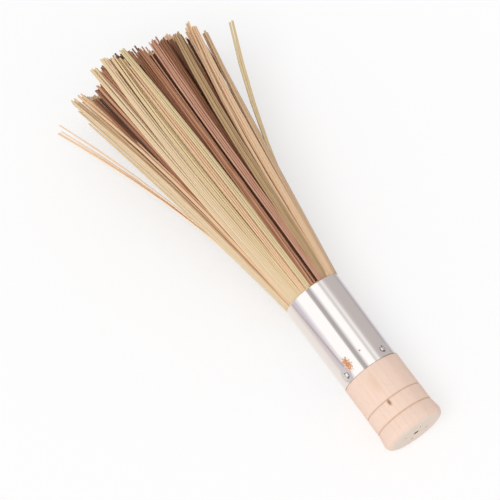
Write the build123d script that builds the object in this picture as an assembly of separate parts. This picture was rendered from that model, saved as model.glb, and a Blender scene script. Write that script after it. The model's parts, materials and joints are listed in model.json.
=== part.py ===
"""A hand brush for scouring pans: a bundle of comb-split bamboo slats in a sheet-steel ferrule, on a turned
wooden handle that fills the palm.

The brush is drawn standing on its butt: +Z runs up the axis to the bristle tips, and the handle's flat butt
face is at Z 0. At the end every piece is laid down together, as the brush lies on a table: on the rim of its
butt and on the tips of the lowest bristles, which the table presses flat. The tips then point along +Y, and
the origin is on the table, under the middle of the brush.
"""

from build123d import *
import os
import random
from math import acos, atan2, cos, degrees, hypot, radians, sin, tan

# Ferrule: a rolled sheet of bright steel, closed by a lap seam
ferrule_diameter = 36.0
ferrule_length = 57.0
sheet_thickness = 0.5
lap_width = 8.2
lap_clearance = 0.05
joggle_width = 1.9
sheet_end_gap = 0.7
seam_angle = 137.0

# Handle: turned wood, flush with the ferrule, with two V grooves round its grip and a flare at the butt
handle_length = 42.5
grip_diameter = 36.2
upper_groove_height = 21.2
lower_groove_height = 10.8
groove_width = 1.3
groove_depth = 0.5
butt_diameter = 39.4
butt_rounding = 4.0
spigot_length = 18.0
spigot_clearance = 0.15
spigot_chamfer = 1.0

# Marks that the lathe leaves in the butt face: the centre hole and the four prongs' cuts round it
centre_hole_diameter = 3.8
centre_hole_depth = 5.0
spur_mark_count = 4
spur_mark_circle_radius = 7.6
first_spur_mark_angle = 15.0
spur_mark_length = 2.9
spur_mark_width = 1.3
spur_mark_depth = 1.5

# Nails: domed heads on the ferrule, and square shanks that taper to a point inside the spigot
nail_count = 4
nail_rise = 4.6
first_nail_angle = 30.7
nail_head_diameter = 4.6
nail_head_height = 1.15
nail_shank_width = 1.9
nail_point_width = 0.3
nail_shank_length = 11.0
nail_hole_clearance = 0.03

# Core peg: shaved to twelve flats and driven up the middle of the bundle from below
peg_diameter = 6.0
peg_top_diameter = 5.2
peg_sides = 12
peg_setback = 3.0

# Slats, in rings from the outside in: how many stand in each ring, and how many strands each is split into
slat_counts = (14, 12, 9, 7, 5, 4, 3)
strand_counts = (6, 7, 7, 6, 6, 5, 4)
root_clearance = 0.15
split_rise = 0.8
cut_width = 0.25
strand_skin = 0.05
root_overlap = 0.6

# Spread of the bristles, from the ferrule's mouth to their tips, and the slanting cut that trimmed them
bristle_length = 185.0
tip_radius = 45.0
ragged_length = 13.0
trim_slant = 7.0
trim_slant_angle = 166.0
ring_wander = 1.0
strand_wander = 0.35
slat_turn_share = 0.13
fan_share = 0.72
tip_taper_share = 0.85
draw_seed = 11

# Strays: bent strands of the two side slats, by ring and slat. Their places are shares of the bristle length
# and of the tip radius: the height and spread of the bend, then the height and spread of the tip.
stray_strands = {(0, 3): (0, 1), (0, 10): (3, 4, 5)}
stray_shares = {(0, 3): (0.50, 0.84, 0.96, 1.43), (0, 10): (0.60, 0.70, 0.91, 1.31)}

# How the brush lies: the table holds the lowest tips this far from the axis, in layers at least a pitch apart
pressed_tip_radius = 40.0
pressed_pitch = 2.8

overrun = 1.0

ferrule_radius = ferrule_diameter / 2
ferrule_bore_radius = ferrule_radius - sheet_thickness
spigot_radius = ferrule_bore_radius - spigot_clearance
mouth_height = handle_length + ferrule_length
root_height = handle_length + spigot_length
split_height = mouth_height + split_rise
tip_height = mouth_height + bristle_length
bundle_radius = ferrule_bore_radius - root_clearance
ring_pitch = (bundle_radius - peg_diameter / 2 - root_clearance) / len(slat_counts)

# The flat of the butt ends where its rounding starts, and the rounding fills the corner under the flare
flare_height = lower_groove_height - groove_width / 2
butt_corner_angle = atan2(flare_height, (butt_diameter - grip_diameter) / 2)
butt_flat_radius = butt_diameter / 2 - butt_rounding / tan(butt_corner_angle / 2)


def at_angle(radius, angle, height=0.0):
    """The point at a radius and an angle round the brush's axis, at a height up it."""
    return Vector(radius * cos(radians(angle)), radius * sin(radians(angle)), height)


def arc_angle(width, radius):
    """The angle that a width takes up on a circle."""
    return degrees(width / radius)


def flat_sided_bar(sections):
    """A solid through a row of like outlines, with a flat face between each two corners of each two."""
    faces = [Face(Wire.make_polygon(sections[0])), Face(Wire.make_polygon(sections[-1]))]
    for lower, upper in zip(sections, sections[1:]):
        for corner in range(len(lower)):
            after = (corner + 1) % len(lower)
            faces.append(Face(Wire.make_polygon([lower[corner], lower[after], upper[after], upper[corner]])))
    return Solid(Shell(faces))


def oblong(length, width, height):
    """The corners of a rectangle round the Z axis, at a height."""
    return [Vector(x * length / 2, y * width / 2, height) for x, y in ((-1, -1), (1, -1), (1, 1), (-1, 1))]


def handle():
    """One turned piece: butt, grooved grip and spigot, with the lathe's marks and the nails' holes."""
    butt_radius = butt_diameter / 2
    grip_radius = grip_diameter / 2
    half_groove = groove_width / 2
    outline = make_face(
        Polyline(
            (0, 0),
            (butt_radius, 0),
            (grip_radius, flare_height),
            (grip_radius - groove_depth, lower_groove_height),
            (grip_radius, lower_groove_height + half_groove),
            (grip_radius, upper_groove_height - half_groove),
            (grip_radius - groove_depth, upper_groove_height),
            (ferrule_radius, upper_groove_height + half_groove),
            (ferrule_radius, handle_length),
            (spigot_radius, handle_length),
            (spigot_radius, root_height - spigot_chamfer),
            (spigot_radius - spigot_chamfer, root_height),
            (0, root_height),
            close=True,
        )
    )
    butt_corner = outline.vertices().sort_by_distance((butt_radius, 0))[0]
    body = revolve(Plane.XZ * fillet(butt_corner, butt_rounding), Axis.Z)

    bit = Cylinder(
        centre_hole_diameter / 2, centre_hole_depth + overrun, align=(Align.CENTER, Align.CENTER, Align.MIN)
    )
    prong_cut = flat_sided_bar(
        [
            oblong(spur_mark_length, spur_mark_width, -overrun),
            oblong(spur_mark_length, spur_mark_width, 0),
            oblong(spur_mark_length, spur_mark_width / 2, spur_mark_depth),
        ]
    )
    cuts = [Pos(Z=-overrun) * bit]
    prongs = PolarLocations(spur_mark_circle_radius, spur_mark_count, start_angle=first_spur_mark_angle)
    cuts += [place * prong_cut for place in prongs]
    cuts += [place * nail_hole() for place in nail_places()]
    return body - cuts


def nail_places():
    """Where each nail's head meets the steel, with Z along its shank outwards."""
    lap_start = seam_angle - arc_angle(lap_width, ferrule_radius)
    places = []
    for number in range(nail_count):
        angle = first_nail_angle + number * 360 / nail_count
        in_lap = lap_start < angle < seam_angle
        seat_radius = ferrule_radius + (sheet_thickness + lap_clearance if in_lap else 0)
        seat = at_angle(seat_radius, angle, handle_length + nail_rise)
        places.append(Plane(seat, x_dir=(0, 0, 1), z_dir=at_angle(1, angle)).location)
    return places


def nail():
    """One nail, driven along -Z: a domed head on a square shank that tapers to a point."""
    head_radius = nail_head_diameter / 2
    dome = TangentArc((0, nail_head_height), (head_radius, 0), tangent=(1, 0))
    underside = Polyline((head_radius, 0), (0, 0), (0, nail_head_height))
    head = revolve(Plane.XZ * make_face([dome, underside]), Axis.Z)
    shank = flat_sided_bar(
        [
            oblong(nail_shank_width, nail_shank_width, 0),
            oblong(nail_point_width, nail_point_width, -nail_shank_length),
        ]
    )
    return head + shank


def nail_hole():
    """The hole that a nail makes for itself, open above the nail's seat."""
    mouth = nail_shank_width + 2 * nail_hole_clearance
    end = nail_point_width + 2 * nail_hole_clearance
    return flat_sided_bar(
        [
            oblong(mouth, mouth, overrun),
            oblong(mouth, mouth, 0),
            oblong(end, end, -nail_shank_length - nail_hole_clearance),
        ]
    )


def ferrule():
    """A steel sheet rolled into a tube. Its outer end steps up and laps over its inner end."""
    step = sheet_thickness + lap_clearance
    inner = ferrule_bore_radius
    outer = ferrule_radius
    lap_start = seam_angle - arc_angle(lap_width, outer)
    step_start = lap_start - arc_angle(joggle_width, outer)
    sheet_end = lap_start - 360 + arc_angle(sheet_end_gap, outer)
    around = step_start - sheet_end
    lap = seam_angle - lap_start
    outline = [
        CenterArc((0, 0), inner, sheet_end, around),
        Line(at_angle(inner, step_start), at_angle(inner + step, lap_start)),
        CenterArc((0, 0), inner + step, lap_start, lap),
        Line(at_angle(inner + step, seam_angle), at_angle(outer + step, seam_angle)),
        CenterArc((0, 0), outer + step, lap_start, lap),
        Line(at_angle(outer, step_start), at_angle(outer + step, lap_start)),
        CenterArc((0, 0), outer, sheet_end, around),
        Line(at_angle(inner, sheet_end), at_angle(outer, sheet_end)),
    ]
    sheet = Pos(Z=handle_length) * extrude(make_face(outline), ferrule_length)
    return sheet - [place * nail_hole() for place in nail_places()]


def core_peg():
    """A tapered wooden peg, driven up from the spigot until it wedges the innermost slats."""
    sections = []
    for diameter, height in ((peg_diameter, root_height), (peg_top_diameter, mouth_height - peg_setback)):
        sections.append([at_angle(diameter / 2, side * 360 / peg_sides, height) for side in range(peg_sides)])
    return flat_sided_bar(sections)


def lying_tilt():
    """How far the axis rises, in degrees, when the butt's rim and the lowest tips both touch the table."""
    rise = pressed_tip_radius - butt_flat_radius
    run = tip_height - butt_rounding
    return degrees(acos(butt_rounding / hypot(rise, run)) - atan2(run, rise))


def table_depth(height):
    """How far below the axis the table is, at a height up the brush."""
    tilt = radians(lying_tilt())
    under_butt = butt_flat_radius * cos(tilt) - butt_rounding * sin(tilt) + butt_rounding
    return (under_butt + height * sin(tilt)) / cos(tilt)


def trimmed_height(place, shortening):
    """The height at which a strand ends: the cut slants across the bundle, and no two strands are as long."""
    across = place.dot(at_angle(1, trim_slant_angle))
    return tip_height - across * tan(radians(trim_slant)) - shortening


def strand_section(corners, centre, taper, height):
    """The strand's corners at a height: the same shape all the way up, smaller by the taper."""
    return [Vector(centre.X, centre.Y, height) + corner * taper for corner in corners]


def strand(ring, corners, root, tip, bend=None):
    """One split strand, from inside the slat's root to its tip, where the table may hold it up."""
    half_depth = max(-corner.Y for corner in corners)
    limit = table_depth(tip.Z) - half_depth * tip_taper_share - ring * pressed_pitch
    sections = [
        strand_section(corners, root, 1, split_height - root_overlap),
        strand_section(corners, root, 1, split_height),
        strand_section(corners, Vector(tip.X, max(tip.Y, -limit)), tip_taper_share, tip.Z),
    ]
    if bend:
        sections.insert(-1, strand_section(corners, bend, 1, bend.Z))
    return flat_sided_bar(sections)


def stray_bend_and_tip(place, angle):
    """Where a stray strand bends and where it ends."""
    bend_share, bend_spread_share, end_share, end_spread_share = stray_shares[place]
    bend = at_angle(bend_spread_share * tip_radius, angle, mouth_height + bend_share * bristle_length)
    return bend, at_angle(end_spread_share * tip_radius, angle, mouth_height + end_share * bristle_length)


def slat(ring, number):
    """One bamboo slat: a root that follows its ring in the ferrule, split above the mouth into strands."""
    outer = bundle_radius - ring * ring_pitch
    inner = outer - ring_pitch + root_clearance
    sector = 360 / slat_counts[ring]
    slat_angle = -90 + number * sector + (ring % 2) * sector / 2
    half_angle = sector / 2 - arc_angle(root_clearance, inner) / 2
    strands = strand_counts[ring]
    edges = [slat_angle - half_angle + 2 * half_angle * step / strands for step in range(strands + 1)]
    root_outline = [at_angle(outer, angle) for angle in edges]
    root_outline += [at_angle(inner, angle) for angle in reversed(edges)]
    root_face = Pos(Z=root_height) * Face(Wire.make_polygon(root_outline))
    root = extrude(root_face, split_height - root_height, dir=(0, 0, 1))

    draws = random.Random(f"{draw_seed} {ring} {number}")
    slat_outward = ring_wander * draws.uniform(-1, 1)
    slat_turn = slat_turn_share * sector * draws.uniform(-1, 1)
    slat_shortening = ragged_length * draws.random()
    split = []
    for index in range(strands):
        low_angle, high_angle = edges[index], edges[index + 1]
        chord = at_angle(outer, high_angle) - at_angle(outer, low_angle)
        sideways = chord.normalized() * (cut_width / 2)
        outwards = at_angle(strand_skin, (low_angle + high_angle) / 2)
        corners = [
            at_angle(inner, low_angle) + sideways + outwards,
            at_angle(outer, low_angle) + sideways - outwards,
            at_angle(outer, high_angle) - sideways - outwards,
            at_angle(inner, high_angle) - sideways + outwards,
        ]
        centre = (corners[0] + corners[1] + corners[2] + corners[3]) / 4
        corners = [corner - centre for corner in corners]

        radius = hypot(centre.X, centre.Y) * tip_radius / bundle_radius
        radius += slat_outward + strand_wander * draws.uniform(-1, 1)
        angle = slat_angle + slat_turn + fan_share * ((low_angle + high_angle) / 2 - slat_angle)
        angle += arc_angle(strand_wander, radius) * draws.uniform(-1, 1)
        shortening = slat_shortening + ragged_length / 2 * draws.random()
        if index in stray_strands.get((ring, number), ()):
            bend, tip = stray_bend_and_tip((ring, number), angle)
            split.append(strand(ring, corners, centre, tip, bend))
        else:
            tip = at_angle(radius, angle)
            tip.Z = trimmed_height(tip, shortening)
            split.append(strand(ring, corners, centre, tip))
    return root + split


def pieces():
    """Every piece of the brush by name, standing on its butt."""
    made = {
        "handle": handle(),
        "ferrule": ferrule(),
        "ferrule_nails": Compound([place * nail() for place in nail_places()]),
        "core_peg": core_peg(),
    }
    for ring, count in enumerate(slat_counts):
        for number in range(count):
            made[f"slat_ring{ring + 1}_{number + 1:02d}"] = slat(ring, number)
    return made


laid_down = Rot(X=lying_tilt() - 90) * Rot(Z=180)
lying = {name: laid_down * shape for name, shape in pieces().items()}
extent = Compound([solid for shape in lying.values() for solid in shape.solids()]).bounding_box()
on_table = Pos(-extent.center().X, -extent.center().Y, -extent.min.Z)

os.makedirs("parts", exist_ok=True)
for name, shape in lying.items():
    export_step(on_table * shape, f"parts/{name}.step")

butt_face = on_table * laid_down * Pos(X=butt_diameter / 4)
outward_normal = (butt_face * Pos(Z=-1)).position - butt_face.position
print("strands", sum(slats * strands for slats, strands in zip(slat_counts, strand_counts)))
print("tilt", lying_tilt(), "size", extent.size)
print("butt face at", butt_face.position, "facing", outward_normal)
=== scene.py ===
import json
import random
from math import acos, atan2, cos, degrees, exp, hypot, pi, radians, sin, tan

import bmesh
import bpy
from mathutils import Matrix, Vector, noise


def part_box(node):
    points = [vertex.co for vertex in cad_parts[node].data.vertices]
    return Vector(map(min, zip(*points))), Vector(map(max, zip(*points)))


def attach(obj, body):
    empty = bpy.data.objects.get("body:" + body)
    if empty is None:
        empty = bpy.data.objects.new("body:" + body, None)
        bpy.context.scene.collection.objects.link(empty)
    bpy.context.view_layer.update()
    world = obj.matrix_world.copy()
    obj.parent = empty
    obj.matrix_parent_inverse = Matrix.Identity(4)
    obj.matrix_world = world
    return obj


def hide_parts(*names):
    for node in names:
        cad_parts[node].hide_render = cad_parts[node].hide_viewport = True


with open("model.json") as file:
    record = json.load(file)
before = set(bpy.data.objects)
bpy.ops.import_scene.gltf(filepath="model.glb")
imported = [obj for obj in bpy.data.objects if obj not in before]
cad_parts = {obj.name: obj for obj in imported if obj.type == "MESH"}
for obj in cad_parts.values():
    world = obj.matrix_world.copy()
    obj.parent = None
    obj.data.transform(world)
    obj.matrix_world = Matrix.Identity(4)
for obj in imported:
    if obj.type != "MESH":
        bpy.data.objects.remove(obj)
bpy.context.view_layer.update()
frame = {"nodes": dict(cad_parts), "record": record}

# The whole brush lies on the rim of its butt and on its lowest bristles. Each piece is made standing on its
# butt, with z up the brush's axis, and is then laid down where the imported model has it.
mm = 0.001
butt_mount = next(mount for mount in frame["record"]["mounts"] if mount["name"] == "butt_face")
handle_low, handle_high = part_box("handle")
brush_up = -Vector(butt_mount["axis"]).normalized()
brush_right = Vector((-1, 0, 0))
brush_side = brush_up.cross(brush_right)
butt_centre = Vector(((handle_low.x + handle_high.x) / 2, butt_mount["pos_m"][1], butt_mount["pos_m"][2]))
lying = Matrix.Translation(butt_centre) @ Matrix((brush_right, brush_side, brush_up)).transposed().to_4x4()


def at_angle(radius, angle, height=0.0):
    """The point at a radius and an angle in degrees round the brush's axis, at a height up it."""
    return Vector((radius * cos(radians(angle)), radius * sin(radians(angle)), height))


def lay_down(piece, slot, *nodes):
    """Lays a finished piece down with its place in its mesh, to stand for its CAD nodes."""
    piece.data.transform(lying @ piece.matrix_world)
    piece.matrix_world = Matrix.Identity(4)
    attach(piece, "root")
    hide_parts(*nodes)


# Handle: one billet of pale beech, turned on a lathe between a drive centre and a tail centre and left raw.
# Two V grooves give the fingers a hold, the butt flares to a rounded rim, and a spigot goes up into the
# ferrule.
handle_length = 42.5 * mm
grip_radius = 18.1 * mm
butt_radius = 19.7 * mm
butt_rounding = 4.0 * mm
rounding_steps = 14
upper_groove_height = 21.2 * mm
lower_groove_height = 10.8 * mm
groove_width = 1.3 * mm
groove_depth = 0.5 * mm
groove_softening = 0.15 * mm
flare_height = lower_groove_height - groove_width / 2
ferrule_radius = 18.0 * mm
spigot_radius = 17.35 * mm
spigot_length = 18.0 * mm
shoulder_softening = 0.25 * mm
centre_hole_radius = 1.9 * mm
centre_hole_depth = 5.0 * mm
centre_hole_bottom_share = 0.35
spur_mark_count = 4
spur_mark_circle_radius = 7.6 * mm
first_spur_mark_angle = 15
spur_mark_length = 2.9 * mm
spur_mark_width = 1.3 * mm
spur_mark_depth = 1.5 * mm
spur_point_share = 0.45
near = 0.01 * mm


def begin(name):
    """Names the primitive just added, puts its place in its mesh, and opens it in edit mode."""
    piece = bpy.context.object
    piece.name = piece.data.name = name
    bpy.ops.object.transform_apply(location=True, rotation=True, scale=True)
    bpy.ops.object.mode_set(mode="EDIT")
    return piece


def pick(kind, test):
    """Selects, in edit mode, only the vertices, edges or faces that pass a test."""
    bpy.ops.mesh.select_mode(type={"verts": "VERT", "edges": "EDGE", "faces": "FACE"}[kind])
    bpy.ops.mesh.select_all(action="DESELECT")
    shape = bmesh.from_edit_mesh(bpy.context.object.data)
    for element in getattr(shape, kind):
        if test(element):
            element.select_set(True)
    bmesh.update_edit_mesh(bpy.context.object.data)


def at_height(height):
    """The test for what lies wholly at a height."""

    def test(element):
        corners = [element] if isinstance(element, bmesh.types.BMVert) else element.verts
        return all(abs(corner.co.z - height) < near for corner in corners)

    return test


bpy.ops.object.select_all(action="DESELECT")
bpy.ops.mesh.primitive_cylinder_add(
    vertices=144, radius=grip_radius, depth=handle_length, location=(0, 0, handle_length / 2)
)
handle = begin("turned_handle")

# What the lathe turns: a ring of edges at each height where the radius changes, brought to that radius
groove_edges = []
for groove_height in (lower_groove_height, upper_groove_height):
    groove_edges += [groove_height - groove_width / 2, groove_height + groove_width / 2]
for height in [lower_groove_height, upper_groove_height] + groove_edges:
    bpy.ops.mesh.select_all(action="SELECT")
    bpy.ops.mesh.bisect(plane_co=(0, 0, height), plane_no=(0, 0, 1))
turned_radii = {
    0: butt_radius,
    lower_groove_height: grip_radius - groove_depth,
    upper_groove_height: grip_radius - groove_depth,
    upper_groove_height + groove_width / 2: ferrule_radius,
    handle_length: ferrule_radius,
}
for height, radius in turned_radii.items():
    pick("verts", at_height(height))
    share = radius / grip_radius
    bpy.ops.transform.resize(value=(share, share, 1), center_override=(0, 0, height))
for height in groove_edges:
    pick("edges", at_height(height))
    bpy.ops.mesh.bevel(offset=groove_softening, segments=2, affect="EDGES")

# The rounded butt and the softened shoulder, then the spigot, and the tail centre's hole in the butt
butt_corner_angle = atan2(flare_height, butt_radius - grip_radius)
rounding_reach = butt_rounding / tan(butt_corner_angle / 2)
pick("edges", at_height(0))
bpy.ops.mesh.bevel(offset=rounding_reach, segments=rounding_steps, profile=0.5, affect="EDGES")
pick("edges", at_height(handle_length))
bpy.ops.mesh.bevel(offset=shoulder_softening, segments=2, affect="EDGES")
pick("faces", at_height(handle_length))
bpy.ops.mesh.inset(thickness=ferrule_radius - shoulder_softening - spigot_radius)
bpy.ops.mesh.extrude_region_move(TRANSFORM_OT_translate={"value": (0, 0, spigot_length)})
pick("faces", at_height(0))
bpy.ops.mesh.inset(thickness=butt_radius - rounding_reach - centre_hole_radius)
bpy.ops.mesh.extrude_region_move(TRANSFORM_OT_translate={"value": (0, 0, centre_hole_depth)})
bpy.ops.transform.resize(
    value=(centre_hole_bottom_share, centre_hole_bottom_share, 1), center_override=(0, 0, centre_hole_depth)
)
bpy.ops.object.mode_set(mode="OBJECT")

# The cuts that the drive centre's prongs leave round the hole, each narrower towards its bottom
for number in range(spur_mark_count):
    spur_angle = first_spur_mark_angle + number * 360 / spur_mark_count
    bpy.ops.object.select_all(action="DESELECT")
    bpy.ops.mesh.primitive_cube_add(
        size=1,
        location=at_angle(spur_mark_circle_radius, spur_angle),
        rotation=(0, 0, radians(spur_angle)),
        scale=(spur_mark_length, spur_mark_width, 2 * spur_mark_depth),
    )
    spur = begin("spur_cut")
    pick("faces", at_height(spur_mark_depth))
    spur_point = at_angle(spur_mark_circle_radius, spur_angle, spur_mark_depth)
    bpy.ops.transform.resize(value=(spur_point_share, spur_point_share, 1), center_override=spur_point)
    bpy.ops.object.mode_set(mode="OBJECT")
    cut = handle.modifiers.new("spur_mark", "BOOLEAN")
    cut.object = spur
    bpy.context.view_layer.objects.active = handle
    bpy.ops.object.modifier_apply(modifier=cut.name)
    bpy.data.objects.remove(spur)


def shade(piece, angle):
    """Shades a finished piece smooth, apart from edges sharper than an angle in degrees."""
    bpy.ops.object.select_all(action="DESELECT")
    piece.select_set(True)
    bpy.context.view_layer.objects.active = piece
    bpy.ops.object.shade_smooth_by_angle(angle=radians(angle))


def linear(code):
    """The linear colour, with full alpha, of an sRGB hex value."""
    shares = [int(code[start:start + 2], 16) / 255 for start in (1, 3, 5)]
    return [share / 12.92 if share <= 0.04045 else ((share + 0.055) / 1.055) ** 2.4 for share in shares] + [1]


def feed(material, node, inputs):
    """Links or sets a node's inputs by name or number."""
    for key, value in inputs.items():
        if isinstance(value, bpy.types.NodeSocket):
            material.node_tree.links.new(value, node.inputs[key])
        else:
            node.inputs[key].default_value = value


def add(material, kind, inputs, **settings):
    """Adds a node with its settings, and feeds its inputs."""
    made = material.node_tree.nodes.new("ShaderNode" + kind)
    for name, value in settings.items():
        setattr(made, name, value)
    feed(material, made, inputs)
    return made


def calculate(material, operation, *inputs, **settings):
    """What an operation on numbers gives."""
    return add(material, "Math", dict(enumerate(inputs)), operation=operation, **settings).outputs[0]


def calculate_vector(material, operation, *inputs):
    """What an operation on vectors gives."""
    return add(material, "VectorMath", dict(enumerate(inputs)), operation=operation).outputs[0]


def mottle(material, place, size, detail):
    """Noise with grains of a size, from 0 to 1."""
    return add(material, "TexNoise", {"Vector": place, "Scale": 1 / size, "Detail": detail}).outputs[0]


def blend(material, share, first, second):
    """The colour at a share of the way from a first colour to a second."""
    return add(material, "Mix", {0: share, 6: first, 7: second}, data_type="RGBA").outputs[2]


def rescale(material, value, start, end, low, high, **settings):
    """A value taken from the range of start to end to that of low to high, and held in it."""
    limits = {"From Min": start, "From Max": end, "To Min": low, "To Max": high}
    return add(material, "MapRange", {"Value": value, **limits}, **settings).outputs[0]


def fade(material, value, start, end, strength):
    """How strong a mark is: whole up to the start of its soft edge, and nothing from its end on."""
    return rescale(material, value, start, end, strength, 0, interpolation_type="SMOOTHSTEP")


def new_material(name):
    """A new material and its shader."""
    made = bpy.data.materials.new(name)
    made.use_nodes = True
    return made, made.node_tree.nodes["Principled BSDF"]


def standing_place(material):
    """Where each point is when the brush stands on its butt."""
    place = add(material, "TexCoord", {}).outputs["Object"]
    turned_back = {"Vector": place, "Location": butt_centre, "Rotation": lying.to_euler()}
    return add(material, "Mapping", turned_back, vector_type="TEXTURE").outputs[0]


def distance_from(material, standing, middle, squash=1):
    """How far each point is from the middle of a mark, which a squash below 1 draws out along the brush."""
    offset = calculate_vector(material, "SUBTRACT", standing, middle)
    drawn = calculate_vector(material, "MULTIPLY", offset, (1, 1, squash))
    return add(material, "VectorMath", {0: drawn}, operation="LENGTH").outputs["Value"]


# Beech off the lathe, unvarnished: matt, pale and slightly pink, with faint growth rings, short fine flecks
# and turning marks round it. The grooves are a little browner and the cut end grain is greyer than the side.
# Inside the holes that the two centres left, the wood is painted dark as shade.
beech_pale = linear("#f4d7c5")
beech_ring = linear("#ebc6b0")
beech_fleck = linear("#dcb9a2")
beech_stain = linear("#d9b48f")
beech_groove = linear("#c79f82")
beech_knot = linear("#93603a")
beech_end = linear("#ecdccf")
beech_painted_hole_shade = linear("#4f3122")
ring_spacing = 4.4 * mm
ring_slant = 0.02
ring_wobble = 3.4
ring_wobble_size = 14 * mm
ring_strength = 0.28
pith = Vector((-34 * mm, 17 * mm, 0))
fleck_width = 0.45 * mm
fleck_length = 2.6 * mm
fleck_strength = 0.55
turning_pitch = 0.55 * mm
turning_share = 0.25
wood_relief = 0.12 * mm
knot_place = at_angle(grip_radius, 68, 19.2 * mm)
knot_core_radius = 0.3 * mm
knot_radius = 1.5 * mm
knot_squash = 0.5
knot_strength = 0.85
stain_place = at_angle(ferrule_radius, 67, 33 * mm)
stain_core_radius = 2.5 * mm
stain_radius = 6 * mm
stain_squash = 0.42
stain_raggedness = 4 * mm
stain_strength = 0.3
groove_shade_start = 0.1 * mm
groove_shade_width = 0.75 * mm
groove_shade_strength = 0.5
end_grain_start = 0.1 * mm
end_grain_height = 1.1 * mm
end_grain_strength = 0.85
# Painted shade inside the centres' holes: the wood is darker the deeper it lies in the butt
hole_shade_start = 0.02 * mm
hole_shade_depth = 0.3 * mm
hole_shade_strength = 0.92

beech, beech_shader = new_material("raw_turned_beech")
standing = standing_place(beech)
heights = add(beech, "SeparateXYZ", {0: standing}).outputs["Z"]

# Growth rings round a pith that lies beside the billet, with fine flecks over them
from_pith = calculate_vector(beech, "SUBTRACT", standing, pith)
across = calculate_vector(beech, "MULTIPLY", from_pith, (1, 1, ring_slant))
pith_distance = add(beech, "VectorMath", {0: across}, operation="LENGTH").outputs["Value"]
wobble = mottle(beech, across, ring_wobble_size, 2)
ring_turns = calculate(beech, "MULTIPLY", pith_distance, 1 / ring_spacing)
ring_place = calculate(beech, "MULTIPLY_ADD", wobble, ring_wobble, ring_turns)
rings = calculate(beech, "FRACT", ring_place)
ring_share = rescale(beech, rings, 0.4, 1, 0, ring_strength, interpolation_type="SMOOTHSTEP")
ringed = blend(beech, ring_share, beech_pale, beech_ring)
fleck_scale = (1 / fleck_width, 1 / fleck_width, 1 / fleck_length)
fleck_place = calculate_vector(beech, "MULTIPLY", standing, fleck_scale)
fleck_noise = mottle(beech, fleck_place, 1, 3)
fleck_share = rescale(beech, fleck_noise, 0.56, 0.8, 0, fleck_strength)
flecked = blend(beech, fleck_share, ringed, beech_fleck)

# A faint stain under the shoulder, browner grooves, and one small knot
stain_distance = distance_from(beech, standing, stain_place, stain_squash)
stain_edge = calculate(beech, "MULTIPLY_ADD", fleck_noise, stain_raggedness, stain_distance)
stain_share = fade(beech, stain_edge, stain_core_radius, stain_radius, stain_strength)
stained = blend(beech, stain_share, flecked, beech_stain)
grooved = stained
for groove_height in (lower_groove_height, upper_groove_height):
    away = calculate(beech, "SUBTRACT", heights, groove_height)
    distance = calculate(beech, "ABSOLUTE", away)
    groove_share = fade(beech, distance, groove_shade_start, groove_shade_width, groove_shade_strength)
    grooved = blend(beech, groove_share, grooved, beech_groove)
knot_distance = distance_from(beech, standing, knot_place, knot_squash)
knot_share = fade(beech, knot_distance, knot_core_radius, knot_radius, knot_strength)
knotted = blend(beech, knot_share, grooved, beech_knot)

# Greyer end grain, and painted shade inside the holes that the two centres left
end_share = fade(beech, heights, end_grain_start, end_grain_height, end_grain_strength)
ended = blend(beech, end_share, knotted, beech_end)
axis_distance = distance_from(beech, standing, (0, 0, 0), 0)
in_face = calculate(beech, "LESS_THAN", axis_distance, butt_radius - rounding_reach - near)
hole_depth_share = rescale(beech, heights, hole_shade_start, hole_shade_depth, 0, hole_shade_strength)
hole_shade_share = calculate(beech, "MULTIPLY", hole_depth_share, in_face)
beech_colour = blend(beech, hole_shade_share, ended, beech_painted_hole_shade)

# The turning marks and the flecks are what can be felt of the surface
turning = calculate(beech, "MULTIPLY", heights, 2 * pi / turning_pitch)
turning_wave = calculate(beech, "SINE", turning)
fine_relief = calculate(beech, "MULTIPLY_ADD", turning_wave, turning_share, fleck_noise)
beech_bump = add(beech, "Bump", {"Height": fine_relief, "Strength": 0.25, "Distance": wood_relief}).outputs[0]
feed(beech, beech_shader, {"Base Color": beech_colour, "Normal": beech_bump})
feed(beech, beech_shader, {"Roughness": 0.6, "Specular IOR Level": 0.3})
handle.data.materials.append(beech)
shade(handle, 35)
lay_down(handle, "turned_wood", "handle")

# Ferrule: a flat sheet of bright rolled steel, rolled round the handle until one end steps up and laps over
# the other. The bristles have pressed its mouth a little wider, and each nail has pulled the thin sheet in
# round its head.
ferrule_length = 57.0 * mm
mouth_flare = 0.6 * mm
shoulder_gap = 0.2 * mm
sheet_thickness = 0.5 * mm
lap_width = 8.2 * mm
lap_clearance = 0.05 * mm
joggle_width = 1.9 * mm
joggle_spread = 3.0 * mm
sheet_end_gap = 0.7 * mm
seam_angle = 137
nail_count = 4
nail_rise = 4.6 * mm
first_nail_angle = 30.7
dent_depth = 0.25 * mm
dent_flat_radius = 2.35 * mm
dent_radius = 1.1 * mm
sheet_waviness = 0.035 * mm
waviness_size = 17 * mm
sheet_columns = 210
sheet_rows = 100
sheet_edge_softening = 0.1 * mm


def round_angle(width, radius):
    """The angle in degrees that a width takes up on a circle."""
    return degrees(width / radius)


lap_step = sheet_thickness + lap_clearance
lap_start = seam_angle - round_angle(lap_width, ferrule_radius)
step_start = lap_start - round_angle(joggle_width + joggle_spread, ferrule_radius)
sheet_start = lap_start - 360 + round_angle(sheet_end_gap, ferrule_radius)
nail_angles = [first_nail_angle + number * 360 / nail_count for number in range(nail_count)]
nail_height = handle_length + nail_rise


def dent(angle, height):
    """How far the nails have pulled the sheet in at a place."""
    depth = 0
    for nail_angle in nail_angles:
        turn = (angle - nail_angle + 180) % 360 - 180
        away = max(0, hypot(radians(turn) * ferrule_radius, height - nail_height) - dent_flat_radius)
        depth += dent_depth * exp(-((away / dent_radius) ** 2))
    return depth


bpy.ops.object.select_all(action="DESELECT")
bpy.ops.mesh.primitive_grid_add(x_subdivisions=sheet_columns, y_subdivisions=sheet_rows, size=1)
ferrule = begin("lapped_ferrule")
bpy.ops.object.mode_set(mode="OBJECT")

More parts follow.
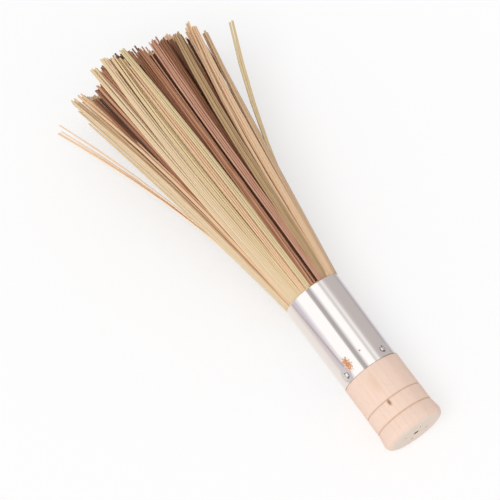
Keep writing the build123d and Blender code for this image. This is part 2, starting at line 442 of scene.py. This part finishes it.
# The sheet is rolled up: its x goes round the ferrule from the inner end to the seam, and its y goes up
for corner in ferrule.data.vertices:
    angle = sheet_start + (corner.co.x + 0.5) * (seam_angle - sheet_start)
    up_share = corner.co.y + 0.5
    height = handle_length + shoulder_gap + up_share * (ferrule_length - shoulder_gap)
    step_share = min(1, max(0, (angle - step_start) / (lap_start - step_start)))
    lift = lap_step * step_share**2 * (3 - 2 * step_share) + mouth_flare * up_share
    rolled = at_angle(ferrule_radius - sheet_thickness / 2 + lift - dent(angle, height), angle, height)
    wave = noise.noise(Vector((rolled.x, rolled.y, rolled.z / 2)) / waviness_size)
    corner.co = rolled + at_angle(sheet_waviness * wave, angle)
wall = ferrule.modifiers.new("wall", "SOLIDIFY")
wall.thickness = sheet_thickness
wall.offset = 0
edges = ferrule.modifiers.new("edges", "BEVEL")
edges.width = sheet_edge_softening
edges.segments = 2
edges.limit_method = "ANGLE"
edges.angle_limit = radians(60)
bpy.context.view_layer.objects.active = ferrule
for modifier in list(ferrule.modifiers):
    bpy.ops.object.modifier_apply(modifier=modifier.name)

# Bright rolled steel, polished but not a perfect mirror: it shows the studio in long clean bands, a little
# softened by handling. A smear of orange rosin and three specks of it are left beside one nail.
steel_bright = linear("#ebe8e6")
rosin = linear("#cf8d5c")
rosin_dark = linear("#7e5238")
handling_size = 7 * mm
rosin_grain = 0.7 * mm
rosin_raggedness = 8 * mm
rosin_place = at_angle(ferrule_radius, 48, 51.4 * mm)
rosin_thick_radius = 1.6 * mm
rosin_radius = 2.4 * mm
rosin_squash = 0.55
rosin_dullness = 0.6
specks = [
    (at_angle(ferrule_radius, 80, 73.4 * mm), 0.32 * mm, rosin_dark),
    (at_angle(ferrule_radius, 79, 68 * mm), 0.2 * mm, rosin_dark),
    (at_angle(ferrule_radius, 81, 53 * mm), 0.65 * mm, rosin),
]

steel, steel_shader = new_material("polished_rolled_steel")
standing = standing_place(steel)
handling = mottle(steel, standing, handling_size, 5)
steel_roughness = rescale(steel, handling, 0.35, 0.7, 0.05, 0.13)

# The smear's edge is as ragged as its grain, and neither it nor the specks are metal
grain = mottle(steel, standing, rosin_grain, 4)
rosin_distance = distance_from(steel, standing, rosin_place, rosin_squash)
rosin_edge = calculate(steel, "MULTIPLY_ADD", grain, -rosin_raggedness, rosin_distance)
rosin_start = rosin_thick_radius - rosin_raggedness / 2
rosin_end = rosin_radius - rosin_raggedness / 2
rosin_share = rescale(steel, rosin_edge, rosin_start, rosin_end, 1, 0)
steel_colour = blend(steel, rosin_share, steel_bright, rosin)
metal_share = calculate(steel, "SUBTRACT", 1, rosin_share)
for speck_place, speck_radius, speck_colour in specks:
    speck_distance = distance_from(steel, standing, speck_place)
    speck_share = rescale(steel, speck_distance, speck_radius * 0.7, speck_radius, 1, 0)
    steel_colour = blend(steel, speck_share, steel_colour, speck_colour)
    metal_share = calculate(steel, "SUBTRACT", metal_share, speck_share, use_clamp=True)
dull = rescale(steel, metal_share, 0, 1, rosin_dullness, 0)
roughness = calculate(steel, "ADD", steel_roughness, dull)
feed(steel, steel_shader, {"Base Color": steel_colour, "Metallic": metal_share, "Roughness": roughness})
ferrule.data.materials.append(steel)
shade(ferrule, 35)
lay_down(ferrule, "sheet_steel", "ferrule")

# Nails: four bright wire nails with round heads, one every quarter turn, driven through the sheet into the
# spigot. The hammer leaves each head a little flat on top, and its shank tapers to a square point in the wood.
nail_head_radius = 2.3 * mm
nail_head_height = 1.15 * mm
nail_head_rim = 0.25 * mm
nail_shank_width = 1.9 * mm
nail_point_width = 0.3 * mm
nail_shank_length = 11.0 * mm
hammer_mark = 0.1 * mm
hammer_mark_size = 1.1 * mm
dome_radius = (nail_head_radius**2 + nail_head_height**2) / (2 * nail_head_height)

bpy.ops.object.select_all(action="DESELECT")
bpy.ops.mesh.primitive_uv_sphere_add(
    segments=40, ring_count=32, radius=dome_radius, location=(0, 0, nail_head_height - dome_radius)
)
nail = begin("nail")
bpy.ops.mesh.bisect(plane_co=(0, 0, nail_head_rim), plane_no=(0, 0, 1), clear_inner=True)
pick("edges", at_height(nail_head_rim))
bpy.ops.mesh.extrude_region_move(TRANSFORM_OT_translate={"value": (0, 0, -nail_head_rim)})
bpy.ops.mesh.edge_face_add()
bpy.ops.mesh.select_all(action="DESELECT")
bpy.ops.mesh.primitive_cube_add(
    size=1,
    location=(0, 0, -nail_shank_length / 2),
    scale=(nail_shank_width, nail_shank_width, nail_shank_length),
)
pick("faces", at_height(-nail_shank_length))
point_share = nail_point_width / nail_shank_width
bpy.ops.transform.resize(value=(point_share, point_share, 1), center_override=(0, 0, -nail_shank_length))
bpy.ops.object.mode_set(mode="OBJECT")
for corner in nail.data.vertices:
    if corner.co.z > nail_head_rim:
        corner.co.z += hammer_mark * min(0, noise.noise(corner.co / hammer_mark_size) - 0.1)

# Bright drawn wire, struck: the same steel with no coating, a little darker than the sheet, so that its round
# head shows against it, and finely scuffed on its crown.
wire_bright = linear("#dcd9d6")
scuff_size = 0.5 * mm
wire, wire_shader = new_material("struck_bright_wire_steel")
place = add(wire, "TexCoord", {}).outputs["Object"]
scuffs = mottle(wire, place, scuff_size, 3)
wire_roughness = rescale(wire, scuffs, 0.4, 0.7, 0.07, 0.24)
feed(wire, wire_shader, {"Base Color": wire_bright, "Metallic": 1, "Roughness": wire_roughness})
nail.data.materials.append(wire)
shade(nail, 40)

# Each nail points at the axis, with its head down in the sheet's dent
for number, angle in enumerate(nail_angles):
    driven = nail.copy()
    driven.data = nail.data.copy()
    driven.name = driven.data.name = f"nail_{number + 1}"
    bpy.context.scene.collection.objects.link(driven)
    seat_radius = ferrule_radius - dent_depth + (lap_step if lap_start < angle < seam_angle else 0)
    outward = at_angle(1, angle)
    upright = Vector((0, 0, 1))
    turned = Matrix((upright, outward.cross(upright), outward)).transposed().to_4x4()
    driven.matrix_world = Matrix.Translation(at_angle(seat_radius, angle, nail_height)) @ turned
    lay_down(driven, "nail_steel", "ferrule_nails")
bpy.data.objects.remove(nail)

# Core peg: a sawn wooden peg, driven up the middle of the bundle to tighten it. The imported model's own solid
# stays, and only the dark spaces between the innermost bristles could ever show it.
peg_wood, peg_shader = new_material("sawn_softwood")
peg_grain = 0.8 * mm
peg_grain_length = 12 * mm
place = add(peg_wood, "TexCoord", {}).outputs["Object"]
peg_grain_scale = (1 / peg_grain, 1 / peg_grain_length, 1 / peg_grain)
stretched = calculate_vector(peg_wood, "MULTIPLY", place, peg_grain_scale)
sawn = mottle(peg_wood, stretched, 1, 3)
peg_colour = blend(peg_wood, sawn, linear("#c79f6e"), linear("#e6cba2"))
feed(peg_wood, peg_shader, {"Base Color": peg_colour, "Roughness": 0.75})
core_peg = frame["nodes"]["core_peg"]
core_peg.data.materials.clear()
core_peg.data.materials.append(peg_wood)

# Bristles: slats of split bamboo, packed in rings round the peg. The maker combs each slat from its free end
# down to the ferrule into fine square strands. Most stay side by side in flat strips, which part, lean and
# cross a little, and a few strands of the two side slats have sprung away from the rest.
slat_counts = (14, 12, 9, 7, 5, 4, 3)
root_edge_counts = (6, 7, 7, 6, 6, 5, 4)
layers_in_slat = 2
mouth_height = handle_length + ferrule_length
root_height = handle_length + spigot_length
split_rise = 0.8 * mm
split_height = mouth_height + split_rise
root_overlap = 0.3 * mm
bristle_length = 185.0 * mm
tip_height = mouth_height + bristle_length
root_clearance = 0.15 * mm
ferrule_bore_radius = ferrule_radius - sheet_thickness
bundle_radius = ferrule_bore_radius - root_clearance
mouth_share = 1 + mouth_flare / ferrule_radius
peg_radius = 3.0 * mm
ring_pitch = (bundle_radius - peg_radius - root_clearance) / len(slat_counts)
tip_radius = 45.0 * mm
ragged_length = 13.0 * mm
trim_slant = 7.0
trim_slant_angle = 166
ring_wander = 1.0 * mm
slat_turn_share = 0.13
fan_share = 0.72
main_tone_chance = 0.75
draw_seed = 11
pressed_tip_radius = 40.0 * mm
pressed_pitch = 2.8 * mm
table_clearance = 0.3 * mm
strand_gap = 0.02 * mm
strip_tone_share = 0.4
strand_pitch = 1.08 * mm
least_strand_pitch = 0.95 * mm
strip_sizes = (1, 2, 2, 3, 3, 4)
strip_ragged_length = 1.6 * mm
layer_shortening = 1.2 * mm
deep_ring_shortening = 2.2 * mm
layer_spread = 1.6
most_even_curl = 1.3
chance_curls = (0.9, 1.15)
strip_lean = 3.5
strip_bulge = 0.22
strip_spread = 0.1
strip_step = 0.12 * mm
strip_twist = 16
sprung_twist = 75
strand_taper = 0.1
strand_twist = 7
strand_drift = 0.5 * mm
strand_lift = 0.16 * mm
station_shares = (0.0, 0.1, 0.25, 0.4, 0.55, 0.7, 0.85, 1.0)
long_edge_softening = 0.075
tip_width_share = 0.84

# The table under the bristles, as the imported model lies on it: how far below the axis it is at each height
butt_flat_radius = butt_radius - rounding_reach
lying_rise = pressed_tip_radius - butt_flat_radius
lying_run = tip_height - butt_rounding
lying_tilt = acos(butt_rounding / hypot(lying_rise, lying_run)) - atan2(lying_run, lying_rise)


def table_depth(height):
    """How far below the brush's axis the table is, at a height up the brush."""
    under_butt = butt_flat_radius * cos(lying_tilt) - butt_rounding * sin(lying_tilt) + butt_rounding
    return (under_butt + height * sin(lying_tilt)) / cos(lying_tilt)


# One strand, split square with its long edges a little rounded, is the pattern for them all: one unit wide,
# thick and long, with a ring of corners at each station where it may bend.
bpy.ops.object.select_all(action="DESELECT")
bpy.ops.mesh.primitive_cube_add(size=1, location=(0, 0, 0.5))
pattern = begin("strand_pattern")
pick("edges", lambda edge: abs(edge.verts[0].co.z - edge.verts[1].co.z) > 0.5)
bpy.ops.mesh.bevel(offset=long_edge_softening, segments=1, affect="EDGES")
for share in station_shares[1:-1]:
    bpy.ops.mesh.select_all(action="SELECT")
    bpy.ops.mesh.bisect(plane_co=(0, 0, share), plane_no=(0, 0, 1))
pick("verts", lambda corner: corner.co.z > 0.999)
bpy.ops.transform.resize(value=(tip_width_share, tip_width_share, 1), center_override=(0, 0, 1))
bpy.ops.object.mode_set(mode="OBJECT")
pattern_corners = [corner.co.copy() for corner in pattern.data.vertices]
pattern_faces = [list(face.vertices) for face in pattern.data.polygons]
bpy.data.objects.remove(pattern)

# Split bamboo, dried and undyed: a satin fibre surface with long fine streaks, each strand a little lighter or
# darker than the next. Most culms dry to straw, some to peach or a greyish olive, and about a third to
# red-brown. The darkest brown is partly a culm's colour and partly painted shade of the deep gaps between the
# strips. Each tone has its colour in the lightest and in the darkest streaks.
bamboo_tones = {
    "pale_straw": ("#f1dcbb", "#e0c59d"),
    "straw": ("#edd6ae", "#d9bc8e"),
    "pale_peach": ("#ffecd6", "#f6d5b4"),
    "peach": ("#f7d8b3", "#e2b78f"),
    "olive_straw": ("#edd9ae", "#d6bd90"),
    "olive_tan": ("#dabb90", "#a38058"),
    "tan": ("#e8c9a5", "#c49c75"),
    "pink_salmon": ("#e8baa0", "#ab7458"),
    "salmon": ("#e8b792", "#93593b"),
    "red_brown": ("#ab7757", "#7c4d35"),
    "dark_brown": ("#714936", "#3f271c"),
}
fibre_width = 0.22 * mm
fibre_length = 16 * mm
fibre_relief = 0.1 * mm
fibre_strength = 0.6
strand_tone_strength = 0.65


def bamboo(tone):
    """Split bamboo of one tone."""
    light, dark = bamboo_tones[tone]
    made, shader = new_material(f"split_bamboo_{tone}")
    along = add(made, "UVMap", {}, uv_map="fibre").outputs[0]
    scaled = calculate_vector(made, "MULTIPLY", along, (1 / fibre_width, 1 / fibre_length, 0))
    fibres = mottle(made, scaled, 1, 3)
    strand_tone = add(made, "Attribute", {}, attribute_name="strand_tone").outputs["Fac"]
    streaks = rescale(made, fibres, 0.3, 0.75, 0, fibre_strength)
    shade_share = calculate(made, "MULTIPLY_ADD", strand_tone, strand_tone_strength, streaks, use_clamp=True)
    tinted = blend(made, shade_share, linear(light), linear(dark))
    relief = add(made, "Bump", {"Height": fibres, "Strength": 0.3, "Distance": fibre_relief}).outputs[0]
    feed(made, shader, {"Base Color": tinted, "Normal": relief, "Roughness": 0.5, "Specular IOR Level": 0.35})
    return made


bamboo_by_tone = {tone: bamboo(tone) for tone in bamboo_tones}

# The strips that show from above, by ring and slat: the tone, the number of strands, the angles round the axis
# at the ferrule, at half height and at the tip, the tip's radius and its drop below the highest tip, both in
# millimetres, and how late the strip spreads out, where 1 is evenly. The other slats draw theirs by chance.
front_strips = {
    (0, 3): (
        ("pale_peach", 3, -20, -14, -15, 63, 12, 1.5),
        ("pale_peach", 1, -17, -12.5, -13, 60.5, 8.5, 1.5),
        ("straw", 2, -14, -9, -14, 45.5, 19, 1.1),
        ("pale_straw", 4, -6, -1, -9, 46, 11, 1.1),
    ),
    (0, 4): (
        ("pale_straw", 5, 11, 12.5, -5, 46.5, 4.5, 1),
        ("tan", 1, 19.5, 17.5, 2, 45, 9, 0.95),
        ("peach", 2, 23, 24.5, 7.5, 44, 7, 1),
    ),
    (0, 5): (
        ("pale_straw", 4, 33, 38.4, 41.8, 45, 7.5, 0.95),
        ("pale_straw", 4, 45.5, 47.4, 54.3, 46, 8, 0.95),
    ),
    (0, 6): (
        ("straw", 3, 54.5, 55.5, 61, 45.5, 12, 1),
        ("peach", 3, 64, 66, 66.5, 43.5, 22, 1.1),
        ("olive_straw", 3, 75.5, 73.3, 69.5, 46.5, 12, 0.95),
    ),
    (0, 7): (
        ("salmon", 3, 82, 82, 80.3, 44.5, 17.5, 1),
        ("salmon", 1, 90.5, 86, 83.5, 43.5, 17, 1.05),
        ("salmon", 1, 99, 96.2, 95.7, 45, 16.5, 1),
        ("pink_salmon", 4, 104, 93.6, 91.4, 45, 17.5, 0.95),
    ),
    (0, 8): (
        ("olive_tan", 5, 113.5, 106.3, 111, 45.5, 20, 0.9),
        ("peach", 2, 122, 115.7, 127, 46.5, 15.5, 1),
        ("tan", 1, 126, 121, 122, 45, 19, 1),
    ),
    (0, 9): (
        ("peach", 4, 133, 126, 131.5, 45.5, 19, 0.95),
        ("tan", 3, 145, 137, 143, 45, 22, 0.95),
    ),
    (0, 10): (
        ("tan", 2, 156, 150, 152, 43, 20, 1),
        ("salmon", 1, 160, 158, 160, 41, 24, 1),
        ("olive_straw", 4, 170, 166, 166, 58.5, 19, 1.75),
        ("tan", 2, 176, 174, 170, 41, 24, 1),
    ),
    # The inner ring's strips that show in the gaps are mostly dark brown, partly as painted shade of the gaps
    (1, 3): (
        ("red_brown", 2, 8, 18.5, 20, 42, 18, 1),
        ("dark_brown", 3, 16, 24.5, 25, 40.5, 21, 1),
        ("red_brown", 2, 22, 28.5, 29, 42.5, 16, 1),
        ("salmon", 2, 26.5, 32.5, 34, 42.5, 15.5, 1),
    ),
    (1, 4): (
        ("dark_brown", 2, 33, 39, 40, 41, 18, 1),
        ("tan", 2, 42, 42, 45, 41, 18, 1),
        ("salmon", 2, 52, 51.5, 46.3, 44, 12, 1),
        ("red_brown", 2, 58, 57, 56.5, 41.5, 19, 1),
    ),
    (1, 5): (
        ("straw", 2, 60, 60.5, 63.5, 42, 14, 1),
        ("dark_brown", 2, 72, 70, 71, 41, 22, 1),
        ("red_brown", 3, 81, 78, 76.5, 42.5, 17.5, 1),
    ),
    (1, 6): (
        ("dark_brown", 3, 93, 88.5, 87, 39.5, 23, 1),
        ("red_brown", 3, 108, 101, 100, 42.5, 18.5, 1),
        ("dark_brown", 1, 113, 104, 104, 42, 20, 1),
    ),
    (1, 7): (
        ("red_brown", 3, 122, 116, 115.5, 42.5, 20.5, 1),
        ("dark_brown", 2, 131, 124, 124.5, 41, 23, 1),
        ("dark_brown", 2, 140, 134, 139, 41, 22, 1),
    ),
}
pale_tones = ("straw", "straw", "pale_straw", "peach", "olive_straw", "tan")
brown_tones = ("salmon", "red_brown", "red_brown", "dark_brown")
slot_of_node = {part["node"]: part["material_slot"] for part in frame["record"]["subparts"]}


def slat_root(ring, number):
    """A slat's outer and inner radius in the ferrule, its middle's angle, and half the angle it takes up."""
    outer = bundle_radius - ring * ring_pitch
    inner = outer - ring_pitch + root_clearance
    sector = 360 / slat_counts[ring]
    slat_angle = -90 + number * sector + (ring % 2) * sector / 2
    return outer, inner, slat_angle, sector / 2 - round_angle(root_clearance, inner) / 2


def chance_strips(ring, number, tones, draws):
    """The strips of a slat that doesn't show from above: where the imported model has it, parted by chance."""
    outer, inner, slat_angle, half_angle = slat_root(ring, number)
    packed_draws = random.Random(f"{draw_seed} {ring} {number}")
    slat_outward = ring_wander * packed_draws.uniform(-1, 1)
    turned_angle = slat_angle + slat_turn_share * 360 / slat_counts[ring] * packed_draws.uniform(-1, 1)
    slat_shortening = ragged_length * packed_draws.random()
    radius = (outer + inner) / 2 * tip_radius / bundle_radius + slat_outward
    strands = max(3, round(radians(2 * half_angle) * (outer + inner) / 2 / strand_pitch))
    main_tone = draws.choice(tones)
    strips = []
    laid = 0
    while laid < strands:
        count = min(draws.choice(strip_sizes), strands - laid)
        across = (laid + count / 2) / strands * 2 - 1
        angle = turned_angle + fan_share * across * half_angle
        slanted = at_angle(radius, angle).dot(at_angle(1, trim_slant_angle)) * tan(radians(trim_slant))
        tone = main_tone if draws.random() < main_tone_chance else draws.choice(tones)
        root_angle = slat_angle + across * half_angle
        middle = (angle + root_angle) / 2 + strip_lean * draws.uniform(-1, 1)
        drop = (slanted + slat_shortening + deep_ring_shortening * min(ring, 2)) / mm
        strips.append((tone, count, root_angle, middle, angle, radius / mm, drop, draws.uniform(*chance_curls)))
        laid += count
    return strips


def bent_angle(root_angle, middle_angle, tip_angle, share):
    """The angle at a share of the way up a strip, on a smooth curve through its three angles."""
    angle = root_angle * 2 * (share - 0.5) * (share - 1)
    angle += middle_angle * 4 * share * (1 - share)
    angle += tip_angle * 2 * share * (share - 0.5)
    return angle


for ring, slat_count in enumerate(slat_counts):
    for number in range(slat_count):
        node = f"slat_ring{ring + 1}_{number + 1:02d}"
        draws = random.Random(f"strands of {node}")
        tones = pale_tones if slot_of_node[node] == "bamboo_pale" else brown_tones
        strips = front_strips.get((ring, number)) or chance_strips(ring, number, tones, draws)
        slat_tones = sorted({strip[0] for strip in strips})
        outer, inner, slat_angle, half_angle = slat_root(ring, number)
        layer_thickness = (outer - inner) / layers_in_slat
        strands = sum(strip[1] for strip in strips)
        corners, faces, tone_shares, fibre_places, face_tones = [], [], [], [], []

        # The root, still one piece inside the ferrule
        steps = root_edge_counts[ring]
        edges = [slat_angle - half_angle + 2 * half_angle * step / steps for step in range(steps + 1)]
        root_corners = [at_angle(outer, angle) for angle in edges]
        root_corners += [at_angle(inner, angle) for angle in reversed(edges)]
        rim = len(root_corners)
        for height, share in ((root_height, 1), (split_height, mouth_share)):
            corners += [corner * share + Vector((0, 0, height)) for corner in root_corners]
        faces += [list(reversed(range(rim))), list(range(rim, 2 * rim))]
        faces += [[step, (step + 1) % rim, rim + (step + 1) % rim, rim + step] for step in range(rim)]
        tone_shares += [0.5] * len(corners)
        fibre_places += [(corner.x + corner.y, corner.z) for corner in corners]
        face_tones += [slat_tones.index(strips[0][0])] * len(faces)

        # The strands, in flat strips of two layers. A sprung strip has one, so that it shows its side
        for order, strip in enumerate(strips):
            tone, count, root_angle, middle_angle, tip_angle, end_radius, drop, curl = strip
            sprung = curl > most_even_curl
            for layer in range(1 if sprung else layers_in_slat):
                root_radius = outer - (layer + 0.5) * layer_thickness + order % 2 * strip_step
                root_radius *= mouth_share
                pitch = max(least_strand_pitch, radians(2 * half_angle) * root_radius / strands)
                width = pitch - strand_gap
                end = end_radius * mm - layer * layer_thickness * layer_spread
                lean = layer * draws.uniform(-1, 1)
                twist = radians(sprung_twist if sprung else strip_twist * draws.uniform(-1, 1))
                spread = draws.uniform(0, strip_spread)
                bulge = strip_bulge * draws.uniform(0.6, 1.2)
                strip_tone = draws.random()
                for member in range(count):
                    member_drop = drop * mm + strip_ragged_length * draws.random() ** 2
                    member_drop += layer * layer_shortening * draws.random()
                    length = tip_height - member_drop - split_height
                    length_share = length / (tip_height - drop * mm - split_height)
                    own_twist = radians(strand_twist * draws.uniform(-1, 1))
                    drift = strand_drift * draws.uniform(-1, 1)
                    lift = strand_lift * draws.uniform(-1, 1)
                    tone_share = strip_tone_share * strip_tone + (1 - strip_tone_share) * draws.random()
                    fibre_start = draws.random()
                    first = len(corners)
                    for corner in pattern_corners:
                        # The strip's middle
                        share = corner.z * length_share
                        outwards = at_angle(1, bent_angle(root_angle, middle_angle, tip_angle + lean, share))
                        sideways = Vector((-outwards.y, outwards.x, 0))
                        centre = outwards * (root_radius + (end - root_radius) * share**curl)

                        # The strand's place in its strip, which is curved in the ferrule and flat at the tip
                        widening = 1 + spread * share + bulge * 4 * share * (1 - share)
                        beside = (member + layer / 2 - (count - 1) / 2) * pitch * widening + drift * share**2
                        turn = twist * share**2
                        centre += (
                            sideways * (beside * cos(turn)) + outwards * (beside * sin(turn) + lift * share)
                        )
                        centre -= outwards * (beside**2 / (2 * root_radius) * (1 - share) ** 2)

                        # The corner's place in the strand
                        across = corner.x * width * (1 - strand_taper * share)
                        through = corner.y * (layer_thickness - strand_gap)
                        turn += own_twist * share
                        centre += sideways * (across * cos(turn) - through * sin(turn))
                        centre += outwards * (across * sin(turn) + through * cos(turn))
                        height = split_height - root_overlap + (length + root_overlap) * corner.z

                        # The table holds up the lowest strands
                        raised = table_clearance + (ring * pressed_pitch + layer * layer_thickness) * share
                        centre.y = max(centre.y, raised - table_depth(height))
                        centre.z = height
                        corners.append(centre)
                        tone_shares.append(tone_share)
                        fibre_places.append(((corner.x + corner.y) * width + fibre_start, height))
                    faces += [[first + step for step in face] for face in pattern_faces]
                    face_tones += [slat_tones.index(tone)] * len(pattern_faces)

        mesh = bpy.data.meshes.new(f"bamboo_slat_{ring + 1}_{number + 1:02d}")
        mesh.from_pydata(corners, [], faces)
        slat = bpy.data.objects.new(mesh.name, mesh)
        bpy.context.scene.collection.objects.link(slat)
        mesh.attributes.new("strand_tone", "FLOAT", "POINT").data.foreach_set("value", tone_shares)
        fibre_map = mesh.uv_layers.new(name="fibre")
        for loop in mesh.loops:
            fibre_map.data[loop.index].uv = fibre_places[loop.vertex_index]
        for tone in slat_tones:
            mesh.materials.append(bamboo_by_tone[tone])
        mesh.polygons.foreach_set("material_index", face_tones)
        shade(slat, 50)
        lay_down(slat, slot_of_node[node], node)

# Studio: a white floor, an even white sky and one soft sun high on the left, which together light an upward
# face at the level at which its colour renders as it is written. To the camera, gloss and glass the floor has
# some light of its own, so that its shadows show at half their depth.
floor_width = 12.0
floor_white = linear("#ffffff")
floor_own_light = 0.55
sky_level = 0.66
sun_level = 1.15
sun_softness = 35
sun_azimuth = -60
sun_elevation = 58


def seen_directly(material):
    """Whether the camera, gloss or glass sees a surface, and not only the light it casts."""
    rays = add(material, "LightPath", {}).outputs
    seen = rays["Is Camera Ray"]
    for kind in ("Is Glossy Ray", "Is Transmission Ray"):
        seen = calculate(material, "MAXIMUM", seen, rays[kind])
    return seen


def direction(azimuth, elevation):
    """The way to a place at an azimuth, which is 0 straight in front, and an elevation, both in degrees."""
    level = cos(radians(elevation))
    return Vector((sin(radians(azimuth)) * level, -cos(radians(azimuth)) * level, sin(radians(elevation))))


bpy.ops.object.select_all(action="DESELECT")
bpy.ops.mesh.primitive_plane_add(size=floor_width)
floor = begin("floor")
bpy.ops.mesh.subdivide(number_cuts=3)
bpy.ops.object.mode_set(mode="OBJECT")
paper, paper_shader = new_material("matt_white_paper")
own_light = calculate(paper, "MULTIPLY", seen_directly(paper), floor_own_light)
paper_colour = blend(paper, own_light, floor_white, linear("#000000"))
feed(paper, paper_shader, {"Base Color": paper_colour, "Roughness": 1, "Specular IOR Level": 0})
feed(paper, paper_shader, {"Emission Color": floor_white, "Emission Strength": own_light})
floor.data.materials.append(paper)
floor.visible_glossy = False

world = bpy.data.worlds.new("white_studio")
bpy.context.scene.world = world
world.use_nodes = True
background = world.node_tree.nodes["Background"]
sky = rescale(world, seen_directly(world), 0, 1, sky_level, 1)
feed(world, background, {"Color": linear("#ffffff"), "Strength": sky})

sun_data = bpy.data.lights.new("soft_sun", "SUN")
sun_data.energy = sun_level
sun_data.angle = radians(sun_softness)
sun = bpy.data.objects.new("soft_sun", sun_data)
bpy.context.scene.collection.objects.link(sun)
sun.rotation_euler = direction(sun_azimuth, sun_elevation).to_track_quat("Z", "Y").to_euler()
sun.visible_glossy = False

# Reflector screen: a paper tunnel round the brush, which only gloss sees, with a slanting brown lath on it. Its
# greys and whites change with the angle round the brush's axis, and the steel shows each as one long band.
# Towards its open ends it is dark, which the round nail heads show as dark caps.
screen_radius = 0.6
screen_low = -0.75
screen_high = 1.0
screen_columns = 144
screen_rows = 35
screen_level = 1.2
screen_end_grey = linear("#2b2624")
screen_end_start = 0.26
screen_end_full = 0.34
screen_greys = (
    (-180, "#bcb6b5"),
    (-169, "#b4adac"),
    (-164, "#9a9291"),
    (-158, "#aea9ac"),
    (-150, "#cac7cf"),
    (-144, "#d3d2da"),
    (-120, "#e9e5e2"),
    (-60, "#ece6e1"),
    (-28, "#ebe4df"),
    (-14, "#d3ccce"),
    (2, "#cbc4cf"),
    (12, "#e4e0e4"),
    (22, "#ffffff"),
    (59, "#ffffff"),
    (64, "#b3aeac"),
    (74, "#aaa5a6"),
    (80, "#dedbdc"),
    (86, "#ffffff"),
    (107, "#ffffff"),
    (115, "#cdc6c4"),
    (128, "#c0b8b7"),
    (180, "#bcb6b5"),
)
lath_radius = 0.59
lath_low = 0.17
lath_high = 0.34
lath_low_angle = 7
lath_high_angle = -36
lath_width = 3.2
lath_steps = 12
lath_brown = linear("#a4856f")


def glowing_paper(name, colour):
    """Paper that gives off its colour and takes up all other light."""
    made, shader = new_material(name)
    feed(made, shader, {"Base Color": linear("#000000"), "Specular IOR Level": 0})
    feed(made, shader, {"Emission Color": colour, "Emission Strength": screen_level})
    return made, shader


bpy.ops.object.select_all(action="DESELECT")
bpy.ops.mesh.primitive_grid_add(x_subdivisions=screen_columns, y_subdivisions=screen_rows, size=1)
screen = begin("reflector_screen")
bpy.ops.object.mode_set(mode="OBJECT")
screen_map = screen.data.uv_layers.new(name="screen")
for loop in screen.data.loops:
    corner = screen.data.vertices[loop.vertex_index].co
    screen_map.data[loop.index].uv = (corner.x + 0.5, corner.y + 0.5)
for corner in screen.data.vertices:
    height = screen_low + (corner.co.y + 0.5) * (screen_high - screen_low)
    corner.co = lying @ at_angle(screen_radius, corner.co.x * 360, height)
screen_paper, screen_shader = glowing_paper("grey_screen_paper", screen_end_grey)
screen_uv = add(screen_paper, "UVMap", {}, uv_map="screen").outputs[0]
screen_place = add(screen_paper, "SeparateXYZ", {0: screen_uv}).outputs
ramp = add(screen_paper, "ValToRGB", {0: screen_place["X"]})
for stop, (angle, code) in enumerate(screen_greys):
    at_share = (angle + 180) / 360
    element = ramp.color_ramp.elements[stop] if stop < 2 else ramp.color_ramp.elements.new(at_share)
    element.position = at_share
    element.color = linear(code)
from_middle = calculate(screen_paper, "SUBTRACT", screen_place["Y"], 0.5)
from_middle = calculate(screen_paper, "ABSOLUTE", from_middle)
end_dark = rescale(
    screen_paper, from_middle, screen_end_start, screen_end_full, 0, 1, interpolation_type="SMOOTHSTEP"
)
screen_colour = blend(screen_paper, end_dark, ramp.outputs["Color"], screen_end_grey)
feed(screen_paper, screen_shader, {"Emission Color": screen_colour})
screen.data.materials.append(screen_paper)

bpy.ops.object.select_all(action="DESELECT")
bpy.ops.mesh.primitive_grid_add(x_subdivisions=1, y_subdivisions=lath_steps, size=1)
lath = begin("brown_lath")
bpy.ops.object.mode_set(mode="OBJECT")
for corner in lath.data.vertices:
    share = corner.co.y + 0.5
    angle = lath_low_angle + share * (lath_high_angle - lath_low_angle) + corner.co.x * lath_width
    corner.co = lying @ at_angle(lath_radius, angle, lath_low + share * (lath_high - lath_low))
lath.data.materials.append(glowing_paper("brown_card", lath_brown)[0])
for reflector in (screen, lath):
    reflector.visible_camera = False
    reflector.visible_diffuse = False
    reflector.visible_shadow = False
    reflector.visible_transmission = False

# Camera: 1.4 metres away, high above the handle and a little to its left, so that the brush slants up and away
# across the frame.
camera_azimuth = -34.95
camera_elevation = 64.06
camera_distance = 1.4
camera_lens = 174.55
aim_height = 151 * mm
aim_right = -6.75 * mm
aim_up = -13.8 * mm
back = direction(camera_azimuth, camera_elevation)
camera_right = Vector((cos(radians(camera_azimuth)), sin(radians(camera_azimuth)), 0))
camera_data = bpy.data.cameras.new("camera")
camera_data.lens = camera_lens
camera_data.sensor_width = 36
camera_data.clip_start = 0.01
camera = bpy.data.objects.new("camera", camera_data)
bpy.context.scene.collection.objects.link(camera)
aim = lying @ Vector((0, 0, aim_height)) + camera_right * aim_right + back.cross(camera_right) * aim_up
camera.location = aim + back * camera_distance
camera.rotation_euler = back.to_track_quat("Z", "Y").to_euler()
bpy.context.scene.camera = camera
bpy.context.scene.view_settings.view_transform = "Standard"
